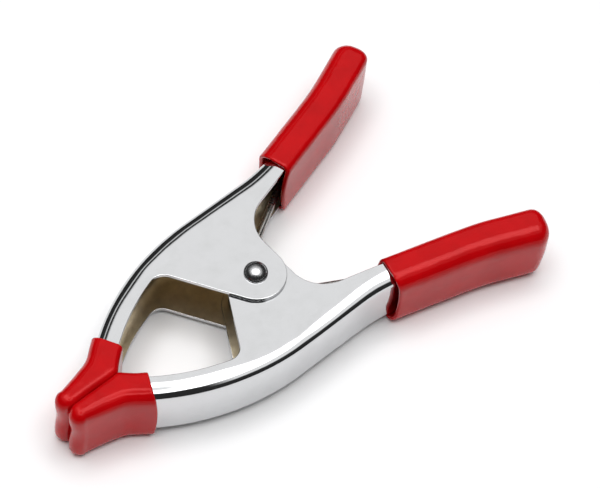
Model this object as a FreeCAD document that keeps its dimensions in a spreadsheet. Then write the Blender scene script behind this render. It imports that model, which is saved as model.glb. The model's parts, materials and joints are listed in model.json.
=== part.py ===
"""Spring clamp, lying on its side with the jaws shut.

Two U-section levers of plated sheet steel turn on one rivet. The jaws point to -X and the
handles to +X, the rivet stands along Z, and the origin is the middle of the clamp's underside.
Every piece is first drawn about the rivet's centre and then moved to its place.
"""
import FreeCAD, Part
import math
import os

import Sketcher
from FreeCAD import Placement, Rotation, Vector

# The driving dimensions: alias, value (mm or degrees), what it is.
DIMENSIONS = [
    ("rivet_place", -4.24, "the rivet on the X axis, with the clamp's length centred on the origin"),
    ("sheet", 1.2, "thickness of the steel sheet"),
    ("flange_height", 21.8, "height of both levers over their flanges"),
    ("flange_depth", 7.5, "width of the flanges along the jaw and the handle"),
    ("bend_radius", 3.0, "outside radius of the bends between back and flanges"),
    ("back_offset", 29.7, "distance of the straight back from the rivet's axis"),
    ("ear_radius", 10.0, "round end of the ears"),
    ("web_radius", 13.0, "hollow corner between ear and handle"),
    ("throat_radius", 5.0, "hollow corner between ear and jaw"),
    ("throat_angle", 58.9, "slope of the ear's edge on the jaw side"),
    ("jaw_radius", 85.0, "curve of the jaw's back"),
    ("jaw_centre", 5.0, "how far before the rivet the jaw's curve begins"),
    ("nose_reach", 75.0, "end of the jaw's gripping face before the rivet"),
    ("nose_width", 3.3, "width of the jaw's end"),
    ("nose_angle", 15.0, "slope of the nose's back"),
    ("nose_turn", 12.0, "curve between the jaw's back and the nose's back"),
    ("handle_start", 20.0, "how far behind the rivet the handle starts to turn out"),
    ("handle_radius", 60.0, "curve where the handle turns out"),
    ("handle_angle", 16.0, "slope of the handle"),
    ("flare_start", 58.0, "how far behind the rivet the handle flares"),
    ("flare_radius", 100.0, "curve of the flare"),
    ("flare_angle", 23.0, "slope of the handle's end"),
    ("handle_reach", 81.6, "end of the handle's back behind the rivet"),
    ("half_turn", 180.0, "degrees in a half turn"),
    ("ear_inset", 1.35, "how far the inner lever's ears are pressed in"),
    ("dish_radius", 12.5, "flat of the pressed-in ears"),
    ("dish_slope", 5.0, "width of the slope around that flat"),
    ("wall", 1.5, "thickness of the PVC sleeves and caps"),
    ("sleeve_gap", 0.3, "play between a sleeve and its handle, in the clamp's plane"),
    ("sleeve_slack", 1.2, "further play of a sleeve behind the handle's back"),
    ("sleeve_start", 31.0, "open end of a sleeve behind the rivet"),
    ("sleeve_reach", 79.43, "end of a sleeve's straight back behind the rivet"),
    ("sleeve_round", 4.5, "round corners of a sleeve"),
    ("soft_edge", 3.0, "rounding of the PVC's long edges"),
    ("cap_start", 55.3, "open end of a jaw cap before the rivet"),
    ("cap_reach", 78.5, "nose of a jaw cap before the rivet"),
    ("cap_nose_radius", 3.4, "round nose of a jaw cap"),
    ("cap_play", 0.05, "play between a cap and its jaw, in the clamp's plane"),
    ("rivet_radius", 3.0, "shank of the rivet"),
    ("rivet_play", 0.05, "play between shank and ears"),
    ("rivet_head_radius", 3.9, "domed head"),
    ("rivet_head_height", 2.8, "height of the domed head"),
    ("rivet_tail_radius", 4.2, "flattened tail"),
    ("rivet_tail_height", 1.2, "height of the flattened tail"),
    ("wire", 2.5, "diameter of the spring's wire"),
    ("coil_radius", 6.6, "middle of the wire around the rivet"),
    ("coil_pitch", 2.56, "rise of the coil in one turn"),
    ("coil_turns", 5, "whole turns of the coil, besides the part of one between the arms"),
    ("arm_angle", 29.0, "slope of the spring's arms"),
    ("arm_lap", 1.2, "how far an arm runs on into the coil's end"),
    ("arm_length", 52.0, "length of the spring's arms"),
]

doc = FreeCAD.newDocument("spring_clamp")
sheet = doc.addObject("Spreadsheet::Sheet", "Dimensions")
for row, (alias, value, meaning) in enumerate(DIMENSIONS, start=1):
    sheet.set(f"A{row}", alias)
    sheet.set(f"B{row}", str(value))
    sheet.setAlias(f"B{row}", alias)
    sheet.set(f"C{row}", meaning)
doc.recompute()
size = {alias: value for alias, value, _ in DIMENSIONS}


def total(**factors):
    """A sum of driving dimensions, each times its factor: its value and its expression."""
    value = sum(size[alias] * factor for alias, factor in factors.items())
    text = " + ".join(f"({factor}) * Dimensions.{alias}" for alias, factor in factors.items())
    return value, text


def bind(target, path, **factors):
    """Binds a property to a sum of driving dimensions."""
    target.setExpression(path, total(**factors)[1])


def unit(degrees):
    """The direction at an angle from +X."""
    return Vector(math.cos(math.radians(degrees)), math.sin(math.radians(degrees)), 0)


def angle_of(vector):
    return math.degrees(math.atan2(vector.y, vector.x))


class Outline:
    """A closed chain of lines and arcs in one sketch, drawn on the +Y side or mirrored."""

    def __init__(self, sketch, side):
        self.sketch, self.side, self.chain, self.place = sketch, side, [], {}

    def _flip(self, point):
        return Vector(point.x, point.y * self.side, 0)

    def line(self, name, start, end):
        geo = self.sketch.addGeometry(Part.LineSegment(self._flip(start), self._flip(end)))
        self.place[name] = geo
        self.chain.append((geo, 1, 2))

    def arc(self, name, centre, radius, start, end):
        """An arc from one angle to the other, in degrees; a falling angle runs clockwise."""
        low, high = sorted((start * self.side, end * self.side))
        circle = Part.Circle(self._flip(centre), Vector(0, 0, 1), radius)
        geo = self.sketch.addGeometry(Part.ArcOfCircle(circle, math.radians(low), math.radians(high)))
        self.place[name] = geo
        rising = (end > start) == (self.side > 0)
        self.chain.append((geo, 1, 2) if rising else (geo, 2, 1))

    def join(self, sharp=()):
        """Ties each piece to the next, smoothly unless the pair is named in sharp."""
        names = {geo: name for name, geo in self.place.items()}
        for (geo, _, end), (after, start, _) in zip(self.chain, self.chain[1:] + self.chain[:1]):
            corner = (names[geo], names[after]) in sharp
            kind = "Coincident" if corner else "Tangent"
            self.sketch.addConstraint(Sketcher.Constraint(kind, geo, end, after, start))

    def fix(self, kind, *where):
        """A constraint without a size."""
        self.sketch.addConstraint(Sketcher.Constraint(kind, *self._where(where)))

    def measure(self, name, kind, where, **factors):
        """A named constraint, its size a sum of driving dimensions."""
        value, text = total(**factors)
        index = self.sketch.addConstraint(Sketcher.Constraint(kind, *self._where(where), value))
        self.sketch.renameConstraint(index, name)
        self.sketch.setExpression("Constraints." + name, text)

    def height(self, name, piece, end, **factors):
        """How far one end of a piece lies from the X axis."""
        where = [-1, 1, piece, end] if self.side > 0 else [piece, end, -1, 1]
        self.measure(name, "DistanceY", where, **factors)

    def slope(self, name, piece, **factors):
        """The angle of a line from +X, in degrees."""
        value, text = total(**factors)
        angle = math.radians(value * self.side)
        index = self.sketch.addConstraint(Sketcher.Constraint("Angle", self.place[piece], angle))
        self.sketch.renameConstraint(index, name)
        self.sketch.setExpression("Constraints." + name, f"{self.side} * ({text}) * 1 deg")

    def centre(self, name, piece, point):
        """Holds the centre of an arc at a point that follows from the driving dimensions."""
        for kind, value, low in (("DistanceX", point.x, point.x > 0),
                                 ("DistanceY", point.y * self.side, point.y * self.side > 0)):
            where = [-1, 1, self.place[piece], 3] if low else [self.place[piece], 3, -1, 1]
            self.sketch.addConstraint(Sketcher.Constraint(kind, *where, abs(value)))

    def _where(self, where):
        return [self.place[item] if isinstance(item, str) else item for item in where]


# ---- The clamp's side view, drawn about the rivet's centre on the +Y side ----

def crossing(point, direction, centre, radius, far):
    """Where a line meets a circle: the far or the near one of the two points along it."""
    along = (centre - point).dot(direction)
    foot = point + direction * along
    half = math.sqrt(radius ** 2 - (foot - centre).Length ** 2)
    return foot + direction * (half if far else -half)


def handle_line(inset):
    """A point on the handle's sloping stretch, that far in from the back, and its direction."""
    centre = Vector(size["handle_start"], size["back_offset"] + size["handle_radius"], 0)
    slope = size["handle_angle"]
    return centre + unit(slope - 90) * (size["handle_radius"] + inset), unit(slope)


def at_x(point, direction, x):
    """The point of a line at one x."""
    return point + direction * ((x - point.x) / direction.x)


def flare_centre():
    """Centre of the curve where the handle flares, which both its edges share."""
    point, direction = handle_line(0)
    start = at_x(point, direction, size["flare_start"])
    return start + unit(size["handle_angle"] + 90) * size["flare_radius"]


def jaw_centre():
    return Vector(-size["jaw_centre"], size["back_offset"] - size["jaw_radius"], 0)


def lever_outline(sketch, side):
    """Side view of one lever: flange and ear in one plate, with the back along its outer edge."""
    line = Outline(sketch, side)
    rivet = Vector(0, 0, 0)
    depth, ear = size["flange_depth"], size["ear_radius"]
    web, throat = size["web_radius"], size["throat_radius"]

    # ear, and the hollow corner to the handle
    edge = unit(-size["throat_angle"])
    edge_end = unit(-size["throat_angle"] - 90) * ear
    inner, slope = handle_line(depth)
    above = at_x(inner, slope, ear + web)
    web_centre = above - Vector(0, web / math.cos(math.radians(size["handle_angle"])), 0)
    line.arc("ear", rivet, ear, angle_of(edge_end), 0)
    line.line("ear_side", Vector(ear, 0, 0), Vector(ear, web_centre.y, 0))
    line.arc("web", web_centre, web, 180, size["handle_angle"] + 90)

    # handle: along its inner edge, over its end and back along its outer edge
    flare, turn = flare_centre(), (size["handle_angle"] - 90, size["flare_angle"] - 90)
    outer = size["flare_radius"]
    end = flare + unit(turn[1]) * outer
    end = at_x(end, unit(size["flare_angle"]), size["handle_reach"])
    end_inner = end - unit(size["flare_angle"] + 90) * depth
    line.line("handle_inner", web_centre + unit(size["handle_angle"] + 90) * web,
              flare + unit(turn[0]) * (outer + depth))
    line.arc("flare_inner", flare, outer + depth, *turn)
    line.line("end_inner", flare + unit(turn[1]) * (outer + depth), end_inner)
    line.line("end", end_inner, end)
    line.line("end_back", end, flare + unit(turn[1]) * outer)
    line.arc("flare_back", flare, outer, *reversed(turn))
    bend = Vector(size["handle_start"], size["back_offset"] + size["handle_radius"], 0)
    line.line("handle_back", flare + unit(turn[0]) * outer, handle_line(0)[0])
    line.arc("bend_back", bend, size["handle_radius"], turn[0], -90)

    # back, jaw and nose
    jaw, radius = jaw_centre(), size["jaw_radius"]
    line.line("back", Vector(bend.x, size["back_offset"], 0), Vector(jaw.x, size["back_offset"], 0))
    nose = Vector(-size["nose_reach"], size["wall"], 0)
    nose_top = nose + unit(size["nose_angle"] + 90) * size["nose_width"]
    slope, turn = unit(size["nose_angle"]), size["nose_turn"]
    outward = unit(size["nose_angle"] + 90) * turn
    turn_centre = crossing(nose_top + outward, slope, jaw, radius + turn, False)
    line.arc("jaw_back", jaw, radius, 90, angle_of(turn_centre - jaw))
    line.arc("nose_turn", turn_centre, turn, angle_of(jaw - turn_centre), size["nose_angle"] - 90)
    line.line("nose_back", turn_centre - outward, nose_top)
    line.line("nose", nose_top, nose)
    lip = Vector(jaw.x, size["wall"], 0)
    jaw_heel = crossing(lip, Vector(-1, 0, 0), jaw, radius - depth, True)
    line.line("nose_face", nose, jaw_heel)

    # inner edge of the jaw, and the hollow corner back to the ear
    inward = unit(-size["throat_angle"] - 90) * throat
    throat_centre = crossing(edge_end + inward, edge, jaw, radius - depth - throat, False)
    line.arc("jaw_inner", jaw, radius - depth, angle_of(jaw_heel - jaw), angle_of(throat_centre - jaw))
    line.arc("throat", throat_centre, throat, angle_of(throat_centre - jaw), 90 - size["throat_angle"])
    line.line("ear_edge", throat_centre - inward, edge_end)

    line.join(sharp={("end_inner", "end"), ("end", "end_back"), ("nose_back", "nose"),
                     ("nose", "nose_face"), ("nose_face", "jaw_inner")})
    origin = (-1, 1)
    line.fix("Coincident", "ear", 3, *origin)
    line.fix("Vertical", "ear_side")
    line.fix("Coincident", "flare_inner", 3, "flare_back", 3)
    line.fix("Perpendicular", "end", "end_back")
    line.fix("Horizontal", "back")
    line.fix("Coincident", "jaw_inner", 3, "jaw_back", 3)
    line.fix("Horizontal", "nose_face")
    line.fix("Parallel", "handle_inner", "handle_back")
    line.fix("Parallel", "end_inner", "end_back")
    line.measure("ear", "Radius", ["ear"], ear_radius=1)
    line.measure("web", "Radius", ["web"], web_radius=1)
    line.measure("flare_back", "Radius", ["flare_back"], flare_radius=1)
    line.measure("flare_inner", "Radius", ["flare_inner"], flare_radius=1, flange_depth=1)
    line.measure("bend_back", "Radius", ["bend_back"], handle_radius=1)
    line.measure("jaw_back", "Radius", ["jaw_back"], jaw_radius=1)
    line.measure("jaw_inner", "Radius", ["jaw_inner"], jaw_radius=1, flange_depth=-1)
    line.fix("Perpendicular", "nose", "nose_back")
    line.measure("nose_width", "Distance", ["nose"], nose_width=1)
    line.measure("throat", "Radius", ["throat"], throat_radius=1)
    line.measure("jaw_centre", "DistanceX", ["jaw_back", 3, *origin], jaw_centre=1)
    line.measure("nose_turn", "Radius", ["nose_turn"], nose_turn=1)
    line.measure("nose_reach", "DistanceX", ["nose", 2, *origin], nose_reach=1)
    line.measure("handle_start", "DistanceX", [*origin, "bend_back", 3], handle_start=1)
    line.measure("flare_start", "DistanceX", [*origin, "handle_back", 1], flare_start=1)
    line.measure("handle_reach", "DistanceX", [*origin, "end", 2], handle_reach=1)
    line.height("back_offset", "back", 1, back_offset=1)
    line.height("nose_face", "nose_face", 1, wall=1)
    line.slope("throat_angle", "ear_edge", throat_angle=-1)
    line.slope("nose_angle", "nose_back", nose_angle=1, half_turn=1)
    line.slope("handle_angle", "handle_inner", handle_angle=1)
    line.slope("flare_angle", "end_inner", flare_angle=1)
    return line


# ---- Features that the pieces share ----

def new_body(label):
    body = doc.addObject("PartDesign::Body", label)
    body.Label = label
    return body


def new_sketch(body, name, role="XY_Plane"):
    """A sketch on one of the body's own origin planes."""
    plane = next(item for item in body.Origin.OriginFeatures if item.Role == role)
    sketch = body.newObject("Sketcher::SketchObject", name)
    sketch.AttachmentSupport = [(plane, "")]
    sketch.MapMode = "FlatFace"
    return sketch


def pad_both_ways(body, sketch, name, **height):
    """A pad of the whole height, half of it on each side of the sketch."""
    pad = body.newObject("PartDesign::Pad", name)
    pad.Profile = sketch
    pad.Midplane = True
    pad.Length = total(**height)[0]
    bind(pad, "Length", **height)
    doc.recompute()
    return pad


def edges_where(feature, test):
    """The names of the feature's edges that pass a test on their middle point and direction."""
    names = []
    for number, edge in enumerate(feature.Shape.Edges, start=1):
        middle = edge.valueAt((edge.FirstParameter + edge.LastParameter) / 2)
        if test(edge, middle):
            names.append(f"Edge{number}")
    return names


def faces_where(feature, test):
    return [f"Face{n}" for n, face in enumerate(feature.Shape.Faces, start=1) if test(face)]


def fillet(body, base, name, edges, **radius):
    rounding = body.newObject("PartDesign::Fillet", name)
    rounding.Base = (base, edges)
    rounding.Radius = total(**radius)[0]
    bind(rounding, "Radius", **radius)
    doc.recompute()
    return rounding


def hollow(body, base, name, open_faces, join, **wall):
    """Leaves a wall inside the base's surface, open at the named faces."""
    shell = body.newObject("PartDesign::Thickness", name)
    shell.Base = (base, open_faces)
    shell.Value = total(**wall)[0]
    bind(shell, "Value", **wall)
    shell.Reversed = True
    shell.Join = join
    doc.recompute()
    return shell


def middles(sketch, outline, names):
    """The middle points of the named pieces of an outline."""
    pieces = [sketch.Geometry[outline.place[name]] for name in names]
    return [piece.value((piece.FirstParameter + piece.LastParameter) / 2) for piece in pieces]


def rim_edges(feature, points, half_height):
    """The edges above and below the given points, at the top and the bottom of a pad."""
    def found(edge, middle):
        flat = Vector(middle.x, middle.y, 0)
        level = abs(abs(middle.z) - half_height) < 1e-6
        return level and any((flat - point).Length < 1e-3 for point in points)
    return edges_where(feature, found)


def upright_faces(feature, points):
    """The upright faces through the given points of the outline."""
    corners = [Part.Vertex(point) for point in points]
    return faces_where(feature, lambda face: any(face.distToShape(c)[0] < 1e-4 for c in corners))


def revolve(body, kind, sketch, name, axis):
    """A full turn of a sketch around one of the sketch's axes, added or taken away."""
    turned = body.newObject("PartDesign::" + kind, name)
    turned.Profile = sketch
    turned.ReferenceAxis = (sketch, [axis])
    turned.Angle = 360
    doc.recompute()
    return turned


def corner_section(sketch, corners, dome=None):
    """A closed section of straight lines, each corner's x and y a sum of driving dimensions.

    Line number dome, if given, becomes an arc with its centre on the vertical axis.
    """
    places = [[total(**x), total(**y)] for x, y in corners]
    points = [Vector(x[0], y[0], 0) for x, y in places]
    first = sketch.GeometryCount
    for number, (start, end) in enumerate(zip(points, points[1:] + points[:1])):
        if number == dome:
            rise = end.y - start.y
            radius = (start.x ** 2 + rise ** 2) / (2 * rise)
            centre = Vector(0, end.y - radius, 0)
            circle = Part.Circle(centre, Vector(0, 0, 1), radius)
            piece = Part.ArcOfCircle(circle, math.radians(angle_of(start - centre)), math.pi / 2)
        else:
            piece = Part.LineSegment(start, end)
        sketch.addGeometry(piece)
    for number in range(len(points)):
        after = first + (number + 1) % len(points)
        sketch.addConstraint(Sketcher.Constraint("Coincident", first + number, 2, after, 1))
        for kind, axis, (value, text) in zip(("DistanceX", "DistanceY"), (-2, -1), places[number]):
            if abs(value) < 1e-9:
                sketch.addConstraint(Sketcher.Constraint("PointOnObject", first + number, 1, axis))
                continue
            where = [-1, 1, first + number, 1] if value > 0 else [first + number, 1, -1, 1]
            index = sketch.addConstraint(Sketcher.Constraint(kind, *where, abs(value)))
            sketch.setExpression(f"Constraints[{index}]", text if value > 0 else f"-({text})")
    if dome is not None:
        sketch.addConstraint(Sketcher.Constraint("PointOnObject", first + dome, 3, -2))


# ---- Levers ----

BACK = ["end_back", "flare_back", "handle_back", "bend_back", "back", "jaw_back", "nose_turn",
        "nose_back"]
OPEN = ["ear", "ear_side", "web", "handle_inner", "flare_inner", "end_inner", "end",
        "nose", "nose_face", "jaw_inner", "throat", "ear_edge"]


def press_in_ears(body, label):
    """Takes a shallow round dish with a sloping rim out of both flanges, around the rivet."""
    sketch = new_sketch(body, label + "_dish_section", "XZ_Plane")
    for sign in (1, -1):
        flange, floor = {"flange_height": sign / 2}, {"flange_height": sign / 2, "ear_inset": -sign}
        corner_section(sketch, [
            ({}, floor),
            ({"dish_radius": 1}, floor),
            ({"dish_radius": 1, "dish_slope": 1}, flange),
            ({"dish_radius": 1, "dish_slope": 1}, {"flange_height": sign / 2, "sheet": sign}),
            ({}, {"flange_height": sign / 2, "sheet": sign}),
        ])
    return revolve(body, "Groove", sketch, label + "_dish", "V_Axis")


def bore(body, label, **radius):
    """A hole for the rivet through both flanges."""
    sketch = new_sketch(body, label + "_hole_outline")
    value, text = total(**radius)
    circle = sketch.addGeometry(Part.Circle(Vector(0, 0, 0), Vector(0, 0, 1), value))
    sketch.addConstraint(Sketcher.Constraint("Coincident", circle, 3, -1, 1))
    index = sketch.addConstraint(Sketcher.Constraint("Radius", circle, value))
    sketch.setExpression(f"Constraints[{index}]", text)
    hole = body.newObject("PartDesign::Pocket", label + "_hole")
    hole.Profile = sketch
    hole.Type = "ThroughAll"
    hole.Midplane = True
    doc.recompute()


def lever(label, side, ears_pressed_in):
    """One lever: a plate with bent edges along its back, hollowed out to the sheet's thickness."""
    body = new_body(label)
    sketch = new_sketch(body, label + "_outline")
    outline = lever_outline(sketch, side)
    doc.recompute()
    back, opening = middles(sketch, outline, BACK), middles(sketch, outline, OPEN)
    plate = pad_both_ways(body, sketch, label + "_plate", flange_height=1)
    rims = rim_edges(plate, back, size["flange_height"] / 2)
    bent = fillet(body, plate, label + "_bends", rims, bend_radius=1)
    if ears_pressed_in:
        bent = press_in_ears(body, label)
    hollow(body, bent, label + "_channel", upright_faces(bent, opening), "Intersection", sheet=1)
    if ears_pressed_in:
        bore(body, label, rivet_radius=1, rivet_play=1)
    else:
        bore(body, label, rivet_radius=1)
    return body


# ---- PVC sleeves on the handles and caps on the jaws ----

def sleeve_outline(sketch, side):
    """Side view of a sleeve: the handle's outline, further out by its play and the wall."""
    line = Outline(sketch, side)
    inner_out = total(wall=1, sleeve_gap=1)[0]
    back_out = total(wall=1, sleeve_gap=1, sleeve_slack=1)[0]
    point, along = handle_line(-back_out)
    mouth_back = at_x(point, along, size["sleeve_start"])
    across = unit(size["handle_angle"] + 90)
    width = size["flange_depth"] + inner_out + back_out
    flare, turn = flare_centre(), (size["handle_angle"] - 90, size["flare_angle"] - 90)
    near = size["flare_radius"] - back_out
    far = size["flare_radius"] + size["flange_depth"] + inner_out
    end_along, end_across = unit(size["flare_angle"]), unit(size["flare_angle"] + 90)
    bow = size["sleeve_round"]
    back_stop = at_x(flare + unit(turn[1]) * near, end_along, size["sleeve_reach"])
    back_bow = back_stop - end_across * bow
    inner_bow = back_stop - end_across * (width - bow)

    line.line("inner", mouth_back - across * width, flare + unit(turn[0]) * far)
    line.arc("inner_flare", flare, far, *turn)
    line.line("inner_end", flare + unit(turn[1]) * far, inner_bow - end_across * bow)
    line.arc("inner_corner", inner_bow, bow, size["flare_angle"] - 90, size["flare_angle"])
    line.line("end", inner_bow + end_along * bow, back_bow + end_along * bow)
    line.arc("back_corner", back_bow, bow, size["flare_angle"], size["flare_angle"] + 90)
    line.line("back_end", back_stop, flare + unit(turn[1]) * near)
    line.arc("back_flare", flare, near, *reversed(turn))
    line.line("back", flare + unit(turn[0]) * near, mouth_back)
    line.line("mouth", mouth_back, mouth_back - across * width)
    line.join(sharp={("back", "mouth"), ("mouth", "inner")})

    origin = (-1, 1)
    line.fix("Coincident", "inner_flare", 3, "back_flare", 3)
    line.fix("Parallel", "inner", "back")
    line.fix("Parallel", "inner_end", "back_end")
    line.fix("Perpendicular", "end", "inner_end")
    line.fix("Perpendicular", "mouth", "inner")
    line.slope("handle_angle", "inner", handle_angle=1)
    line.slope("flare_angle", "inner_end", flare_angle=1)
    line.measure("back_flare", "Radius", ["back_flare"],
                 flare_radius=1, wall=-1, sleeve_gap=-1, sleeve_slack=-1)
    line.measure("inner_flare", "Radius", ["inner_flare"],
                 flare_radius=1, flange_depth=1, wall=1, sleeve_gap=1)
    line.measure("inner_corner", "Radius", ["inner_corner"], sleeve_round=1)
    line.measure("back_corner", "Radius", ["back_corner"], sleeve_round=1)
    line.measure("mouth", "DistanceX", [*origin, "mouth", 1], sleeve_start=1)
    line.centre("flare_centre", "back_flare", flare)
    line.measure("sleeve_reach", "DistanceX", [*origin, "back_end", 1], sleeve_reach=1)
    return line


def cap_outline(sketch, side):
    """Side view of a jaw cap, with its gripping face in the clamp's middle plane."""
    line = Outline(sketch, side)
    spare = {"wall": 1, "cap_play": 1}
    out = total(**spare)[0]
    jaw = jaw_centre()
    near, far = size["jaw_radius"] - size["flange_depth"] - out, size["jaw_radius"] + out
    bow, turn = size["cap_nose_radius"], size["nose_turn"] - out
    nose = Vector(bow - size["cap_reach"], bow, 0)
    back = unit(size["nose_angle"] + 90)
    turn_centre = crossing(nose + back * (bow + turn), unit(size["nose_angle"]), jaw, far + turn, False)
    mouth_angle = 180 - math.degrees(math.acos((size["cap_start"] - size["jaw_centre"]) / far))
    heel = crossing(Vector(0, 0, 0), Vector(-1, 0, 0), jaw, near, True)

    line.line("face", Vector(nose.x, 0, 0), heel)
    line.arc("inner", jaw, near, angle_of(heel - jaw), mouth_angle)
    line.line("mouth", jaw + unit(mouth_angle) * near, jaw + unit(mouth_angle) * far)
    line.arc("back", jaw, far, mouth_angle, angle_of(turn_centre - jaw))
    line.arc("turn", turn_centre, turn, angle_of(jaw - turn_centre), size["nose_angle"] - 90)
    line.line("nose_back", turn_centre - back * turn, nose + back * bow)
    line.arc("nose", nose, bow, size["nose_angle"] + 90, 270)
    line.join(sharp={("face", "inner"), ("inner", "mouth"), ("mouth", "back")})

    origin = (-1, 1)
    line.fix("Coincident", "inner", 3, "back", 3)
    line.fix("PointOnObject", "face", 1, -1)
    line.fix("Horizontal", "face")
    line.fix("PointOnObject", "back", 3, "mouth")
    line.slope("nose_angle", "nose_back", nose_angle=1, half_turn=1)
    line.measure("inner", "Radius", ["inner"], jaw_radius=1, flange_depth=-1, wall=-1, cap_play=-1)
    line.measure("back", "Radius", ["back"], jaw_radius=1, **spare)
    line.measure("turn", "Radius", ["turn"], nose_turn=1, wall=-1, cap_play=-1)
    line.measure("nose", "Radius", ["nose"], cap_nose_radius=1)
    line.measure("nose_reach", "DistanceX", ["nose", 3, *origin], cap_reach=1, cap_nose_radius=-1)
    line.measure("mouth", "DistanceX", ["mouth", 2, *origin], cap_start=1)
    line.centre("jaw_centre", "back", jaw)
    return line


def soft_shell(label, side, draw, edges, **rounding):
    """A PVC sleeve or cap: a closed shell open at its mouth, then rounded along its edges."""
    body = new_body(label)
    sketch = new_sketch(body, label + "_outline")
    outline = draw(sketch, side)
    doc.recompute()
    block = pad_both_ways(body, sketch, label + "_block", flange_height=1, wall=2)
    mouth = upright_faces(block, middles(sketch, outline, ["mouth"]))
    shell = hollow(body, block, label + "_inside", mouth, "Arc", wall=1)
    rims = rim_edges(shell, middles(sketch, outline, edges), total(flange_height=0.5, wall=1)[0])
    fillet(body, shell, label + "_edges", rims, **rounding)
    return body


# ---- Rivet and spring ----

def rivet():
    """Domed head above, flattened tail below, tight in the outer lever's ears."""
    body = new_body("pivot_rivet")
    sketch = new_sketch(body, "pivot_rivet_section", "XZ_Plane")
    top, bottom = {"flange_height": 0.5}, {"flange_height": -0.5}
    corner_section(sketch, [
        ({}, {**bottom, "rivet_tail_height": -1}),
        ({"rivet_tail_radius": 1}, {**bottom, "rivet_tail_height": -1}),
        ({"rivet_tail_radius": 1}, bottom),
        ({"rivet_radius": 1}, bottom),
        ({"rivet_radius": 1}, top),
        ({"rivet_head_radius": 1}, top),
        ({}, {**top, "rivet_head_height": 1}),
    ], dome=5)
    revolve(body, "Revolution", sketch, "pivot_rivet_turned", "V_Axis")
    return body


def spring():
    """A close-wound coil round the rivet, with a straight arm in each handle."""
    cell = sheet.get
    wire, radius, slope, lap = cell("wire") / 2, cell("coil_radius"), cell("arm_angle"), cell("arm_lap")
    foot_angle = 90 + slope
    rise = cell("coil_pitch") * (cell("coil_turns") + 1 - foot_angle / 180)
    coil_path = Part.makeHelix(cell("coil_pitch"), rise, radius)
    coil_path.rotate(Vector(0, 0, 0), Vector(0, 0, 1), foot_angle)
    coil_path.translate(Vector(0, 0, -rise / 2))
    first = coil_path.Edges[0]
    start, heading = first.valueAt(first.FirstParameter), first.tangentAt(first.FirstParameter)
    ring = Part.Wire(Part.makeCircle(wire, start, heading))
    coil = Part.Wire(coil_path.Edges).makePipeShell([ring], True, True)
    arms = []
    for side in (1, -1):
        along = unit(side * slope)
        foot = unit(side * foot_angle) * radius - Vector(0, 0, side * rise / 2) - along * lap
        arms.append(Part.makeCylinder(wire, cell("arm_length") + lap, foot, along))
    piece = doc.addObject("Part::Feature", "torsion_spring")
    piece.Label = "torsion_spring"
    piece.Shape = coil.fuse(arms)
    return piece


# ---- The clamp ----

SLEEVE_EDGES = ["back", "back_flare", "back_end"]
CAP_EDGES = ["back", "turn", "nose_back", "inner"]

pieces = [lever("outer_lever", 1, False), lever("inner_lever", -1, True), rivet(), spring()]
for owner, side in (("outer_lever", 1), ("inner_lever", -1)):
    pieces.append(soft_shell(owner + "_grip", side, sleeve_outline, SLEEVE_EDGES, soft_edge=1))
    pieces.append(soft_shell(owner + "_tip", side, cap_outline, CAP_EDGES, soft_edge=1))
doc.recompute()

middle = Vector(size["rivet_place"], 0, total(flange_height=0.5, wall=1)[0])
for piece in pieces:
    piece.Placement = Placement(middle, Rotation())
    bind(piece, "Placement.Base.x", rivet_place=1)
    bind(piece, "Placement.Base.z", flange_height=0.5, wall=1)
doc.recompute()

for item in doc.Objects:
    if {"Invalid", "Error"} & set(item.State):
        raise RuntimeError(f"{item.Label} failed: {item.State}")
os.makedirs("parts", exist_ok=True)
for piece in pieces:
    shape = piece.Shape
    if shape.isNull() or not shape.isValid() or len(shape.Solids) != 1:
        raise RuntimeError(f"{piece.Label} is not one valid solid")
    print(piece.Label, round(shape.Volume, 1), shape.BoundBox)
    shape.exportStep(f"parts/{piece.Label}.step")
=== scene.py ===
"""The visual model of the spring clamp: plated levers, with glossy red PVC on jaws and handles."""

import bisect
import json
import math

import bmesh
import bpy
from mathutils import Matrix, Vector, noise
from mathutils.geometry import delaunay_2d_cdt


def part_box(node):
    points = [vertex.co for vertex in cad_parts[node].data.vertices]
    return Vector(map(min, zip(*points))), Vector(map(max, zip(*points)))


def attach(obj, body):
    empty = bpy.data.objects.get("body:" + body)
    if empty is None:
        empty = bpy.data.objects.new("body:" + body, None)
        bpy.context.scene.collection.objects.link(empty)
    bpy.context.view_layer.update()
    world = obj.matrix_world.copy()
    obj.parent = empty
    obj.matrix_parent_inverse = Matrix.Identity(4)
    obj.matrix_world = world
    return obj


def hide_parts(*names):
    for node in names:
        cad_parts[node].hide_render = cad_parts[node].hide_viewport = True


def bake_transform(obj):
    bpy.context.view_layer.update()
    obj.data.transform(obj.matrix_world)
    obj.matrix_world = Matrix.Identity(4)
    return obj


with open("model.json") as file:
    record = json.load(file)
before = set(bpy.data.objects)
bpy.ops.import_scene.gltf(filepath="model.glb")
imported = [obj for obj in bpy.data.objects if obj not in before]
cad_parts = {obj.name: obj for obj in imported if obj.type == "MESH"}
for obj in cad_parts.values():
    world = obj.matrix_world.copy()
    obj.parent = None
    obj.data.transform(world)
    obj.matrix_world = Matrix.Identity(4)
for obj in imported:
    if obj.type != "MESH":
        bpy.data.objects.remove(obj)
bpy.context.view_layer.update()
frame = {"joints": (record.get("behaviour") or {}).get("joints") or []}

MM = 0.001

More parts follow.
